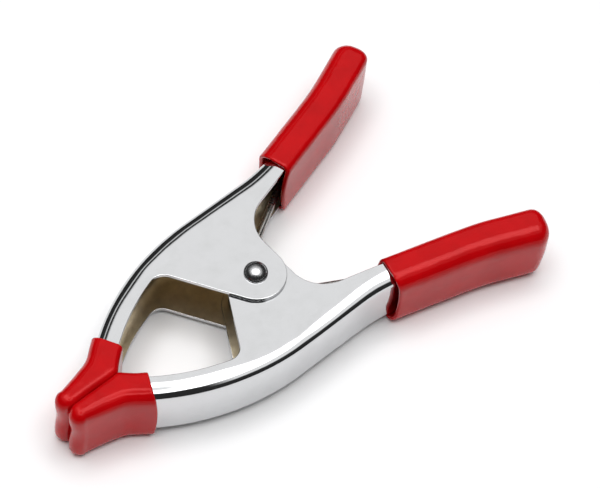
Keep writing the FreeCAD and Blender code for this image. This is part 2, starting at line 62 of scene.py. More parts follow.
# The clamp's measures in millimetres and degrees, drawn about the rivet's axis at half height.
PIVOT = Vector(frame["joints"][0]["pos_m"]) / MM
LEVER_LOW, LEVER_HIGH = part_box("outer_lever")
_, SLEEVE_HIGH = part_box("outer_lever_grip")
HALF = (LEVER_HIGH.z - LEVER_LOW.z) / MM / 2    # half the levers' height
WALL = (SLEEVE_HIGH.z - LEVER_HIGH.z) / MM      # thickness of the PVC
SHEET = 1.2            # thickness of the steel
DEPTH = 7.5            # width of the flanges
BEND = 3.0             # outside radius of the bends
BACK = 29.7            # distance of the straight back from the rivet
EAR = 10.0             # radius of the round ear
WEB = 13.0             # hollow corner between the ear and the handle
THROAT = 5.0           # hollow corner between the ear and the jaw
THROAT_ANGLE = 58.9    # slope of the ear's edge beside the throat
JAW = 85.0             # radius of the jaw's back
JAW_CENTRE = Vector((-5.0, BACK - JAW))
NOSE_REACH = 75.0      # the jaw's nose, before the rivet
NOSE_WIDTH = 3.3
NOSE_ANGLE = 15.0      # slope of the nose's back
NOSE_TURN = 12.0       # radius between the jaw's back and the nose's back
HANDLE_START = 20.0    # end of the straight back, behind the rivet
HANDLE = 60.0          # radius of the bend into the handle
HANDLE_ANGLE = 16.0    # slope of the handle
FLARE_START = 58.0     # where the handle begins to flare outwards
FLARE = 100.0          # radius of the flare
FLARE_ANGLE = 23.0     # slope of the handle's end
HANDLE_REACH = 81.6    # the handle's end, behind the rivet
HOLE = 3.0             # radius of the rivet's hole


def unit(degrees):
    """The flat direction at an angle from +X."""
    return Vector((math.cos(math.radians(degrees)), math.sin(math.radians(degrees))))


def angle_of(vector):
    """A flat direction's angle from +X in degrees."""
    return math.degrees(math.atan2(vector.y, vector.x))


def smooth(value):
    """A soft step from 0 to 1."""
    value = max(0.0, min(1.0, value))
    return value * value * (3 - 2 * value)


# ---- Side view: chains of points with their outward directions ----

def line_to(start, end, step):
    """Points along a line, its end left out."""
    count = max(1, math.ceil((end - start).length / step))
    return [start.lerp(end, i / count) for i in range(count)]


def arc_to(centre, radius, start, end, step):
    """Points along an arc between two angles in degrees, its end left out."""
    count = max(3, math.ceil(abs(math.radians(end - start)) * radius / step))
    return [centre + unit(start + (end - start) * i / count) * radius for i in range(count)]


def crossing(point, direction, centre, radius, far):
    """Where a line meets a circle: the far or the near one of the two points along it."""
    along = (centre - point).dot(direction)
    foot = point + direction * along
    half = math.sqrt(radius ** 2 - (foot - centre).length ** 2)
    return foot + direction * (half if far else -half)


def outward(points):
    """The outward direction at each point of an open chain with the material on its left."""
    found = []
    for i, point in enumerate(points):
        before, after = points[max(i - 1, 0)], points[min(i + 1, len(points) - 1)]
        first = (point - before).normalized() if i > 0 else (after - point).normalized()
        second = (after - point).normalized() if i < len(points) - 1 else first
        normals = [Vector((d.y, -d.x)) for d in (first, second)]
        total = normals[0] + normals[1]
        found.append(total / max(1 + normals[0].dot(normals[1]), 0.5))
    return found


BEND_CENTRE = Vector((HANDLE_START, BACK + HANDLE))
BEND_END = BEND_CENTRE + unit(HANDLE_ANGLE - 90) * HANDLE
FLARE_BEGIN = BEND_END + unit(HANDLE_ANGLE) * ((FLARE_START - BEND_END.x) / unit(HANDLE_ANGLE).x)
FLARE_CENTRE = FLARE_BEGIN + unit(HANDLE_ANGLE + 90) * FLARE
NOSE = Vector((-NOSE_REACH, WALL))
NOSE_TOP = NOSE + unit(NOSE_ANGLE + 90) * NOSE_WIDTH


def handle_back(out, reach, step):
    """The handle's back from its end to where it becomes straight, that far outside the steel."""
    flare_end = FLARE_CENTRE + unit(FLARE_ANGLE - 90) * (FLARE - out)
    end = flare_end + unit(FLARE_ANGLE) * ((reach - flare_end.x) / unit(FLARE_ANGLE).x)
    flare_begin = FLARE_CENTRE + unit(HANDLE_ANGLE - 90) * (FLARE - out)
    bend_end = BEND_CENTRE + unit(HANDLE_ANGLE - 90) * (HANDLE - out)
    points = line_to(end, flare_end, step)
    points += arc_to(FLARE_CENTRE, FLARE - out, FLARE_ANGLE - 90, HANDLE_ANGLE - 90, step)
    return points + line_to(flare_begin, bend_end, step)


def jaw_back(out, step):
    """The jaw's back from the straight back to the nose, that far outside the steel."""
    slope, turn = unit(NOSE_ANGLE), NOSE_TURN - out
    across = unit(NOSE_ANGLE + 90)
    turn_centre = crossing(NOSE_TOP + across * NOSE_TURN, slope, JAW_CENTRE, JAW + NOSE_TURN, False)
    points = arc_to(JAW_CENTRE, JAW + out, 90, angle_of(turn_centre - JAW_CENTRE), step)
    points += arc_to(turn_centre, turn, angle_of(JAW_CENTRE - turn_centre), NOSE_ANGLE - 90, step / 2)
    return points + line_to(turn_centre - across * turn, NOSE_TOP + across * out, step)


def lever_back(step):
    """The whole back of a lever, from the handle's end to the nose."""
    points = handle_back(0, HANDLE_REACH, step)
    points += arc_to(BEND_CENTRE, HANDLE, HANDLE_ANGLE - 90, -90, step)
    points += line_to(Vector((HANDLE_START, BACK)), Vector((JAW_CENTRE.x, BACK)), step)
    return points + jaw_back(0, step) + [NOSE_TOP]


def lever_opening(step):
    """The free edge of a flange, from the nose over the ear to the handle's end."""
    edge = unit(-THROAT_ANGLE)
    across = unit(-THROAT_ANGLE - 90)
    inward = across * THROAT
    throat_centre = crossing(across * EAR + inward, edge, JAW_CENTRE, JAW - DEPTH - THROAT, False)
    turn = angle_of(throat_centre - JAW_CENTRE)
    heel = crossing(Vector((JAW_CENTRE.x, WALL)), Vector((-1, 0)), JAW_CENTRE, JAW - DEPTH, True)
    out = JAW - DEPTH
    slope = unit(HANDLE_ANGLE)
    inner = BEND_CENTRE + unit(HANDLE_ANGLE - 90) * (HANDLE + DEPTH)
    above = inner + slope * ((EAR + WEB - inner.x) / slope.x)
    web_centre = above - Vector((0, WEB / math.cos(math.radians(HANDLE_ANGLE))))
    flare_begin = FLARE_CENTRE + unit(HANDLE_ANGLE - 90) * (FLARE + DEPTH)
    flare_end = FLARE_CENTRE + unit(FLARE_ANGLE - 90) * (FLARE + DEPTH)
    end = lever_back(step)[0]
    end_inner = end - unit(FLARE_ANGLE + 90) * DEPTH

    points = line_to(NOSE_TOP, NOSE, step) + line_to(NOSE, heel, step)
    points += arc_to(JAW_CENTRE, out, angle_of(heel - JAW_CENTRE), turn, step)
    points += arc_to(throat_centre, THROAT, turn, 90 - THROAT_ANGLE, step / 2)
    points += line_to(throat_centre - inward, across * EAR, step)
    points += arc_to(Vector((0, 0)), EAR, angle_of(across), 0, step / 2)
    points += line_to(Vector((EAR, 0)), Vector((EAR, web_centre.y)), step)
    points += arc_to(web_centre, WEB, 180, HANDLE_ANGLE + 90, step / 2)
    points += line_to(web_centre + unit(HANDLE_ANGLE + 90) * WEB, flare_begin, step)
    points += arc_to(FLARE_CENTRE, FLARE + DEPTH, HANDLE_ANGLE - 90, FLARE_ANGLE - 90, step)
    return points + line_to(flare_end, end_inner, step) + line_to(end_inner, end, step) + [end]


# ---- Materials ----

def new_material(name):
    """A material with only its shader, and a function that adds nodes to it."""
    material = bpy.data.materials.new(name)
    material.use_nodes = True
    tree = material.node_tree
    shader = tree.nodes["Principled BSDF"]

    def node(kind, **inputs):
        item = tree.nodes.new("ShaderNode" + kind)
        for key, value in inputs.items():
            socket = item.inputs[key.replace("_", " ")]
            if isinstance(value, bpy.types.NodeSocket):
                tree.links.new(value, socket)
            else:
                socket.default_value = value
        return item

    return material, shader, tree, node


def place(node, tree, stretch=(1, 1, 1)):
    """The object's own coordinates in millimetres, stretched along the axes."""
    coordinates = node("TexCoord")
    mapping = node("Mapping", Scale=[1 / MM * s for s in stretch])
    tree.links.new(coordinates.outputs["Object"], mapping.inputs["Vector"])
    return mapping.outputs["Vector"]


def noise_of(node, where, scale, detail=2.0, roughness=0.5):
    """Noise with features of about 1/scale millimetres."""
    item = node("TexNoise", Vector=where, Scale=scale, Detail=detail, Roughness=roughness)
    return item.outputs["Fac"]


def spread(node, value, low, high, to_low, to_high):
    """Maps a range of a value to another range, clamped."""
    item = node("MapRange")
    for key, number in zip(("From Min", "From Max", "To Min", "To Max"), (low, high, to_low, to_high)):
        item.inputs[key].default_value = number
    item.id_data.links.new(value, item.inputs["Value"])
    return item.outputs["Result"]


def mixed(node, factor, first, second):
    """A colour between two colours."""
    item = node("Mix")
    item.data_type = "RGBA"
    item.id_data.links.new(factor, item.inputs[0])
    item.inputs[6].default_value = (*first, 1)
    item.inputs[7].default_value = (*second, 1)
    return item.outputs[2]


def bumped(node, height, distance, under=None):
    """A normal roughened by a height, over another normal."""
    item = node("Bump", Height=height, Distance=distance, Strength=0.5)
    if under is not None:
        item.id_data.links.new(under, item.inputs["Normal"])
    return item.outputs["Normal"]


def plated_steel():
    """Bright plating over pressed sheet: nearly a mirror, gently uneven, with faint polishing marks."""
    material, shader, tree, node = new_material("plated_steel")
    where = place(node, tree)
    along = place(node, tree, (0.12, 1.6, 1.0))
    swell = noise_of(node, where, 0.055, 1.0)
    fine = noise_of(node, where, 0.35, 2.0)
    marks = noise_of(node, along, 2.2, 3.0)
    stain = noise_of(node, where, 0.16, 4.0, 0.6)
    patches = spread(node, stain, 0.45, 0.75, 0, 0.35)
    colour = mixed(node, patches, (0.655, 0.66, 0.67), (0.56, 0.565, 0.565))
    tree.links.new(colour, shader.inputs["Base Color"])
    tree.links.new(spread(node, marks, 0.35, 0.8, 0.045, 0.11), shader.inputs["Roughness"])
    shader.inputs["Metallic"].default_value = 1.0
    wavy = bumped(node, swell, 0.5 * MM)
    wavy = bumped(node, fine, 0.02 * MM, wavy)
    wavy = bumped(node, marks, 0.002 * MM, wavy)
    tree.links.new(wavy, shader.inputs["Normal"])
    return material


def red_pvc():
    """Glossy soft PVC with a slightly rippled skin."""
    material, shader, tree, node = new_material("red_pvc")
    where = place(node, tree)
    ripple = noise_of(node, where, 0.22, 2.0)
    grain = noise_of(node, where, 2.0, 3.0)
    cloud = noise_of(node, where, 0.12, 3.0)
    patches = spread(node, cloud, 0.35, 0.7, 0, 1)
    colour = mixed(node, patches, (0.52, 0.002, 0.004), (0.44, 0.0015, 0.003))
    tree.links.new(colour, shader.inputs["Base Color"])
    tree.links.new(spread(node, grain, 0.3, 0.8, 0.09, 0.17), shader.inputs["Roughness"])
    shader.inputs["IOR"].default_value = 1.9
    shader.inputs["Specular Tint"].default_value = (0.35, 0.08, 0.08, 1)
    shader.inputs["Subsurface Weight"].default_value = 0.05
    shader.inputs["Subsurface Radius"].default_value = (1.0 * MM, 0.1 * MM, 0.08 * MM)
    shader.inputs["Subsurface Scale"].default_value = 1.0
    skin = bumped(node, ripple, 0.25 * MM)
    skin = bumped(node, grain, 0.01 * MM, skin)
    tree.links.new(skin, shader.inputs["Normal"])
    return material


def inside_steel_painted_reflection():
    """The sheet's inner face: duller plating, its warm brown colour a painted reflection."""
    material, shader, tree, node = new_material("inside_steel_painted_reflection")
    where = place(node, tree)
    stain = noise_of(node, where, 0.2, 4.0, 0.6)
    fine = noise_of(node, where, 1.2, 3.0)
    patches = spread(node, stain, 0.35, 0.7, 0, 1)
    # The two warm brown tones are a painted reflection; the patches between them vary at random.
    colour = mixed(node, patches, (0.74, 0.64, 0.46), (0.58, 0.50, 0.36))
    tree.links.new(colour, shader.inputs["Base Color"])
    tree.links.new(spread(node, fine, 0.3, 0.8, 0.28, 0.42), shader.inputs["Roughness"])
    shader.inputs["Metallic"].default_value = 1.0
    tree.links.new(bumped(node, fine, 0.02 * MM), shader.inputs["Normal"])
    return material


def rivet_steel():
    """Plated rivet, a little duller than the levers."""
    material, shader, tree, node = new_material("rivet_steel")
    where = place(node, tree)
    fine = noise_of(node, where, 0.9, 3.0)
    pits = noise_of(node, where, 3.0, 2.0)
    patches = spread(node, fine, 0.4, 0.7, 0, 1)
    colour = mixed(node, patches, (0.40, 0.40, 0.41), (0.34, 0.34, 0.34))
    tree.links.new(colour, shader.inputs["Base Color"])
    tree.links.new(spread(node, pits, 0.3, 0.8, 0.2, 0.32), shader.inputs["Roughness"])
    shader.inputs["Metallic"].default_value = 1.0
    tree.links.new(bumped(node, fine, 0.03 * MM), shader.inputs["Normal"])
    return material


def wire_steel():
    """Drawn spring wire: grey, with lines across its length left by the coiling."""
    material, shader, tree, node = new_material("wire_steel")
    where = place(node, tree)
    along = place(node, tree, (1.0, 1.0, 0.15))
    marks = noise_of(node, along, 1.6, 3.0)
    stain = noise_of(node, where, 0.3, 3.0)
    patches = spread(node, stain, 0.4, 0.7, 0, 1)
    colour = mixed(node, patches, (0.45, 0.44, 0.42), (0.28, 0.27, 0.25))
    tree.links.new(colour, shader.inputs["Base Color"])
    tree.links.new(spread(node, marks, 0.3, 0.8, 0.22, 0.42), shader.inputs["Roughness"])
    shader.inputs["Metallic"].default_value = 1.0
    tree.links.new(bumped(node, marks, 0.02 * MM), shader.inputs["Normal"])
    return material


STEEL = plated_steel()
# Material for the sheet's inner faces, its warm brown colour a painted reflection.
INSIDE_PAINTED_REFLECTION = inside_steel_painted_reflection()
RIVET = rivet_steel()
WIRE_STEEL = wire_steel()
RED = red_pvc()


# ---- Meshes ----

def new_mesh(name, points, faces, side, material):
    """A mesh from points in millimetres about the rivet's axis, mirrored for the side at -Y."""
    mesh = bpy.data.meshes.new(name)
    spots = [(PIVOT + Vector((p.x, p.y * side, p.z))) * MM for p in points]
    turned = faces if side > 0 else reversed_all(faces)
    mesh.from_pydata(spots, [], turned)
    mesh.polygons.foreach_set("use_smooth", [True] * len(faces))
    mesh.materials.append(material)
    mesh.update()
    return mesh


def face_outwards(mesh):
    """Turns all faces of a closed mesh outwards."""
    shape = bmesh.new()
    shape.from_mesh(mesh)
    bmesh.ops.recalc_face_normals(shape, faces=shape.faces)
    shape.to_mesh(mesh)
    shape.free()


def new_piece(name, mesh):
    """A piece of the clamp that takes the place of the CAD node with the same name."""
    item = bpy.data.objects.new(name, mesh)
    bpy.context.scene.collection.objects.link(item)
    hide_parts(name)
    return item


def strip(first, second, closed=False):
    """Faces between two equally long rows of point numbers."""
    count = len(first) if closed else len(first) - 1
    after = [(i + 1) % len(first) for i in range(count)]
    return [(first[i], first[j], second[j], second[i]) for i, j in enumerate(after)]


def reversed_all(faces):
    """The same faces, looking the other way."""
    return [tuple(reversed(face)) for face in faces]


def is_inside(point, outline):
    """Whether a flat point lies inside a closed outline."""
    found = False
    for a, b in zip(outline, outline[1:] + outline[:1]):
        if (a.y > point.y) != (b.y > point.y):
            if point.x < a.x + (b.x - a.x) * (point.y - a.y) / (b.y - a.y):
                found = not found
    return found


def spread_points(outline, fixed, spacing):
    """Points in a triangular pattern inside an outline, clear of its fixed points and of the hole."""
    xs, ys = [p.x for p in outline], [p.y for p in outline]
    clear = 0.6 * spacing
    found = []
    row = 0
    y = min(ys)
    while y < max(ys):
        x = min(xs) + (spacing / 2 if row % 2 else 0)
        while x < max(xs):
            point = Vector((x, y))
            if is_inside(point, outline) and all((point - p).length > clear for p in fixed):
                found.append(point)
            x += spacing
        y += spacing * math.sqrt(3) / 2
        row += 1
    return [p for p in found if p.length > HOLE + clear]


def filled(outline, hole, spacing):
    """Triangles over a flat outline with a round hole, with points spread over it.

    The outline's and the hole's points come first and keep their order.
    """
    fixed = outline + hole
    extra = spread_points(outline, fixed, spacing)
    loops = [range(len(outline)), range(len(outline), len(fixed))]
    edges = [(loop[i], loop[(i + 1) % len(loop)]) for loop in loops for i in range(len(loop))]
    points, _, triangles, origin, _, _ = delaunay_2d_cdt(fixed + extra, edges, [], 0, 1e-6)
    kept = []
    for triangle in triangles:
        middle = sum((points[i] for i in triangle), Vector((0, 0))) / 3
        if is_inside(middle, outline) and not is_inside(middle, hole):
            kept.append(tuple(origin[i][0] for i in triangle))
    return fixed + extra, kept


# ---- Levers ----

EDGE = 0.22            # rounding of the sheet's cut edges
STEP = 1.3             # spacing of the points along a lever
GRID = 1.5             # spacing of the points over a flange
HOLE_POINTS = 48
MERGE = 0.3            # free edge points closer than this to an end station are left out
PRESS_FLAT = 12.0      # out to this distance from the rivet the flanges are pressed in fully
PRESS_END = 38.0       # from this distance on they aren't pressed in
SHOULDER = 5.4         # how far the soft bend reaches over a flange between the cap and the sleeve
SHOULDER_FROM, SHOULDER_TO, SHOULDER_RAMP = -64.0, 70.0, 10.0
BEND_STEPS, BACK_STEPS = 8, 8
WAVE, WAVE_SIZE = 0.05, 13.0                    # depth and size of the flanges' unevenness
FOLD_X, FOLD_Y, FOLD_ANGLE = -21.0, 22.0, 28.0  # middle and direction of a soft fold in the flange
FOLD_LENGTH, FOLD_STEP, FOLD_FADE = 5.0, 1.6, 9.0               # its reach, its step's width and fading


def inset(x, y, depth, fold):
    """How far a flange lies inside its full height at a place."""
    press = depth * (1 - smooth((math.hypot(x, y) - PRESS_FLAT) / (PRESS_END - PRESS_FLAT)))
    wave = WAVE * noise.noise(Vector((x, y, 7 * depth)) / WAVE_SIZE)
    from_fold = Vector((x - FOLD_X, y - FOLD_Y))
    along = from_fold.dot(unit(FOLD_ANGLE))
    across = from_fold.dot(unit(FOLD_ANGLE - 90))
    fade = math.exp(-(along / FOLD_LENGTH) ** 2 - (across / FOLD_FADE) ** 2)
    return press + wave + fold * math.tanh(across / FOLD_STEP) * fade


def pressed(point, normal, depth, fold):
    """Brings a point in towards the ears, where the flanges lie closer together, and turns its normal."""
    here = inset(point.x, point.y, depth, fold)
    small = 0.05
    slope_x = (inset(point.x + small, point.y, depth, fold) - here) / small
    slope_y = (inset(point.x, point.y + small, depth, fold) - here) / small
    share = point.z / HALF
    scale = 1 - here / HALF
    down = normal.z / scale
    turned = Vector((normal.x + share * slope_x * down, normal.y + share * slope_y * down, down))
    return Vector((point.x, point.y, point.z * scale)), turned.normalized()


def cross_section(point, across):
    """One station of the bent back: points and normals from the top flange round to the bottom one."""
    across = Vector((across.x, across.y, 0))
    middle = Vector((point.x, point.y, 0))
    ramp_in = smooth((point.x - SHOULDER_FROM) / SHOULDER_RAMP)
    ramp_out = smooth((SHOULDER_TO - point.x) / SHOULDER_RAMP)
    reach = BEND + (SHOULDER - BEND) * ramp_in * ramp_out
    found = []
    for i in range(BEND_STEPS + 1):
        angle = math.pi / 2 * (1 - i / BEND_STEPS)
        flat, rise = math.cos(angle), math.sin(angle)
        normal = (across * flat / reach + Vector((0, 0, rise / BEND))).normalized()
        height = Vector((0, 0, HALF - BEND * (1 - rise)))
        found.append((middle - across * reach * (1 - flat) + height, normal))
    bend = list(found)
    for i in range(1, BACK_STEPS):
        height = Vector((0, 0, (HALF - BEND) * (1 - 2 * i / BACK_STEPS)))
        found.append((middle + height, across.copy()))
    mirror = [(Vector((p.x, p.y, -p.z)), Vector((n.x, n.y, -n.z))) for p, n in bend]
    return found + list(reversed(mirror))


def lever_stations():
    """The bent back's stations from the handle's end to the nose, and the two ends' outward directions."""
    back = lever_back(STEP)
    across = outward(back)
    end_out = Vector((across[0].y, -across[0].x, 0))
    nose_out = Vector((-across[-1].y, across[-1].x, 0))
    back[0] = back[0] - end_out.to_2d() * EDGE
    back[-1] = back[-1] - nose_out.to_2d() * EDGE
    return [cross_section(p, n.normalized()) for p, n in zip(back, across)], nose_out, end_out


def free_edge(start, end):
    """The flanges' free edge, in by its rounding, between the end stations, and its outward directions."""
    opening = lever_opening(STEP)
    out = outward(opening)
    edge = [p - n * EDGE for p, n in zip(opening, out)]
    keep = [i for i in range(1, len(edge) - 1)
            if (edge[i] - start).length > MERGE and (edge[i] - end).length > MERGE
            and (opening[i] - NOSE_TOP).length > BEND and (opening[i] - opening[-1]).length > BEND]
    return [edge[i] for i in keep], [out[i].to_3d() for i in keep]


def add_flanges(points, normals, faces, rows, flat, triangles):
    """Adds the two flanges, and gives the numbers of each one's points."""
    levels = {}
    for level, corner in ((1, 0), (-1, -1)):
        numbers = [row[corner] for row in rows]
        for p in flat[len(rows):]:
            numbers.append(len(points))
            points.append(Vector((p.x, p.y, HALF * level)))
            normals.append(Vector((0, 0, level)))
        levels[level] = numbers
        for triangle in triangles:
            face = tuple(numbers[i] for i in triangle)
            a, b, c = (Vector(points[i][:2]) for i in face)
            rising = (b - a).cross(c - a) > 0
            faces.append(face if rising == (level > 0) else tuple(reversed(face)))
    return levels


def add_cut_edge(points, normals, faces, loop, rim, inner_start):
    """Adds the rounded edge of the sheet between its outer and its inner face."""
    rings = [loop]
    outer, inner = EDGE, SHEET - EDGE
    for turn, base in ((30, outer), (60, outer), (90, outer), (90, inner), (120, inner), (150, inner)):
        sine, cosine = math.sin(math.radians(turn)), math.cos(math.radians(turn))
        ring = []
        for i, out in zip(loop, rim):
            ring.append(len(points))
            points.append(points[i] - normals[i] * base + (out * sine + normals[i] * cosine) * EDGE)
            normals.append((out.normalized() * sine + normals[i] * cosine).normalized())
        rings.append(ring)
    rings.append([inner_start + i for i in loop])
    for a, b in zip(rings, rings[1:]):
        faces += reversed_all(strip(a, b, closed=True))


def lever(name, side, ear_depth, fold):
    """One lever: two flanges and a bent back of one sheet, its cut edges slightly rounded."""
    stations, nose_out, end_out = lever_stations()
    inner_line = [Vector(station[0][0][:2]) for station in stations]
    edge, edge_out = free_edge(inner_line[-1], inner_line[0])
    brink = inner_line + edge
    hole = [unit(360 * i / HOLE_POINTS) * HOLE for i in range(HOLE_POINTS)]
    flat, triangles = filled(brink, hole, GRID)

    width = len(stations[0])
    points = [p for station in stations for p, _ in station]
    normals = [n for station in stations for _, n in station]
    rows = [[i * width + j for j in range(width)] for i in range(len(stations))]
    faces = [face for a, b in zip(rows, rows[1:]) for face in strip(a, b)]
    levels = add_flanges(points, normals, faces, rows, flat, triangles)

    inner_start = len(points)
    points += [p - n * SHEET for p, n in zip(points, normals)]
    normals += [-n for n in normals]
    outer_faces = len(faces)
    faces += reversed_all([tuple(inner_start + i for i in face) for face in faces])
    inner_faces = range(outer_faces, len(faces))

    top, bottom = (levels[level][len(rows):len(brink)] for level in (1, -1))
    loop = rows[-1][::-1] + top + rows[0] + bottom[::-1]
    rim = [nose_out] * width + edge_out + [end_out] * width + edge_out[::-1]
    add_cut_edge(points, normals, faces, loop, rim, inner_start)

    for level in (1, -1):
        outer = levels[level][len(brink):len(brink) + HOLE_POINTS]
        wall = strip(outer, [inner_start + i for i in outer], closed=True)
        faces += wall if level > 0 else reversed_all(wall)

    made = [pressed(p, n, ear_depth, fold) for p, n in zip(points, normals)]
    mesh = new_mesh(name, [p for p, _ in made], faces, side, STEEL)
    # The inner faces take the material whose warm brown colour is a painted reflection.
    mesh.materials.append(INSIDE_PAINTED_REFLECTION)
    for number in inner_faces:
        mesh.polygons[number].material_index = 1
    mesh.normals_split_custom_set_from_vertices([(n.x, n.y * side, n.z) for _, n in made])
    mesh.update()
    item = new_piece(name, mesh)
    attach(item, name)


# ---- Sleeves and caps ----

PVC_STEP = 0.7         # spacing of the points along the chains
ROUND_STEPS = 8        # points round the tip, on either side
LIP_IN, LIP_EDGE = 0.4, 0.12                    # last places before the mouth's end
SLEEVE_BACK = 3.0      # a sleeve's back, outside the steel
SLEEVE_FRONT = 1.8     # its front, outside the free edges
SLEEVE_CORNER = 4.5    # its round end
SLEEVE_PAST = 3.4      # how far it goes past the steel's end
SLEEVE_BEFORE = 4.9    # how far its mouth lies before the straight handle
CAP_OUT = 1.55         # a cap's skin, outside the steel
CAP_MOUTH = 55.3       # a cap's mouth, before the rivet
CAP_NOSE = 3.4         # radius of its nose
CAP_REACH = 78.5       # its nose, before the rivet
FIT = 0.35             # room between the PVC and the flanges
TOUCH = 0.005          # half the gap left between the two caps' pressed faces
MOUTH_FADE, TIP_FADE = 12.0, 9.0                # how far in the mouth's and the tip's shapes reach
RIPPLE, FINE_RIPPLE = 0.10, 0.03                # unevenness of the skin


def track(points):
    """A function that gives the point at a distance along a chain, also beyond its ends."""
    lengths = [0.0]
    for a, b in zip(points, points[1:]):
        lengths.append(lengths[-1] + (b - a).length)

    def at(distance):
        i = max(0, min(bisect.bisect_right(lengths, distance) - 1, len(points) - 2))
        share = (distance - lengths[i]) / (lengths[i + 1] - lengths[i])
        return points[i] + (points[i + 1] - points[i]) * share

    return at, lengths[-1]


def spaced(points, end, count):
    """Evenly spaced points of a chain up to a distance, the last few close to its end."""
    at, _ = track(points)
    even = [at(end * i / count) for i in range(count)]
    return even + [at(end - LIP_IN), at(end - LIP_EDGE), at(end)]


def round_tip(centre, radius, start, end):
    """Points round a tip's corner between two angles, its end left out."""
    return [centre + unit(start + (end - start) * i / ROUND_STEPS) * radius for i in range(ROUND_STEPS)]


def sleeve_sides():
    """A sleeve's back and front from the middle of its round end to its mouth."""
    along, across = unit(FLARE_ANGLE), unit(FLARE_ANGLE + 90)
    at, _ = track(handle_back(0, HANDLE_REACH, 1.0))
    end = at(-SLEEVE_PAST)
    front_out = -DEPTH - SLEEVE_FRONT
    middle = end + across * (SLEEVE_BACK + front_out) / 2
    sides = []
    for out, turn in ((SLEEVE_BACK, 1), (front_out, -1)):
        corner = end + across * (out - turn * SLEEVE_CORNER) - along * SLEEVE_CORNER
        round_end = [middle, middle.lerp(corner + along * SLEEVE_CORNER, 0.6)]
        round_end += round_tip(corner, SLEEVE_CORNER, FLARE_ANGLE, FLARE_ANGLE + turn * 90)
        chain = handle_back(out, HANDLE_REACH, PVC_STEP)
        start = chain[0] + along * ((corner - chain[0]).dot(along))
        chain = [start] + [p for p in chain if (p - start).dot(along) < -0.1]
        run, stop = track(chain)
        while (run(stop) - BEND_END).dot(unit(HANDLE_ANGLE)) > -SLEEVE_BEFORE:
            stop += 0.02
        sides.append(round_end + spaced(chain, stop, 40))
    return sides


def cap_sides():
    """A cap's back and front from the tip of its nose to its mouth."""
    centre = Vector((CAP_NOSE - CAP_REACH, CAP_NOSE))
    back_angle, face_angle = NOSE_ANGLE + 90, 270
    tip_angle = (back_angle + face_angle) / 2
    outer, inner = JAW + CAP_OUT, JAW - DEPTH - CAP_OUT
    mouth_angle = 180 - math.degrees(math.acos((CAP_MOUTH + JAW_CENTRE.x) / outer))
    heel = crossing(Vector((JAW_CENTRE.x, 0)), Vector((-1, 0)), JAW_CENTRE, inner, True)
    back = [centre + unit(back_angle) * CAP_NOSE]
    back += [p for p in reversed(jaw_back(CAP_OUT, PVC_STEP)) if (p - back[0]).dot(unit(NOSE_ANGLE)) > 0.3]
    front = line_to(Vector((centre.x, 0)), heel, PVC_STEP)
    front += arc_to(JAW_CENTRE, inner, angle_of(heel - JAW_CENTRE), mouth_angle - 0.01, PVC_STEP)
    sides = []
    for points, angle, radius in ((back, back_angle, outer), (front, face_angle, inner)):
        stop = JAW_CENTRE + unit(mouth_angle) * radius
        points = [p for p in points if p.x < stop.x - 0.05] + [stop]
        nose = round_tip(centre, CAP_NOSE, tip_angle, angle)
        sides.append(nose + spaced(points, track(points)[1], 30))
    return sides


def facing_away(points, others):
    """The outward direction at each point of one side of a shell, away from its other side."""
    found = outward(points)
    for i, point in enumerate(points):
        deeper = min(i + 12, len(points) - 1)
        if found[i].dot(point - (points[deeper] + others[deeper]) / 2) < 0:
            found[i] = -found[i]
    return found


def section(half_width, half_height, back_round, front_round):
    """A rounded rectangle from the middle of its top, over its back, its underside and its front."""
    found = []
    for turn, radius in ((1, back_round), (-1, front_round)):
        radius = min(radius, 0.92 * half_width)
        flat = half_width - radius
        upright = half_height - radius
        quarter = [(flat * i / 3, half_height) for i in range(3)]
        for i in range(8):
            angle = math.radians(90 * i / 7)
            quarter.append((flat + radius * math.sin(angle), upright + radius * math.cos(angle)))
        quarter += [(half_width, upright * (1 - i / 4)) for i in range(1, 4)]
        side = quarter + [(half_width, 0.0)] + [(u, -z) for u, z in reversed(quarter)]
        if turn < 0:
            side = [(-u, z) for u, z in reversed(side)][1:-1]
        found += side
    return found


def closing(ring):
    """Faces that close a ring made by section(), between its back half and its front half."""
    count = len(ring)
    faces = [(ring[i], ring[i + 1], ring[count - i - 1], ring[-i]) for i in range(count // 2)]
    return [tuple(dict.fromkeys(face)) for face in faces]


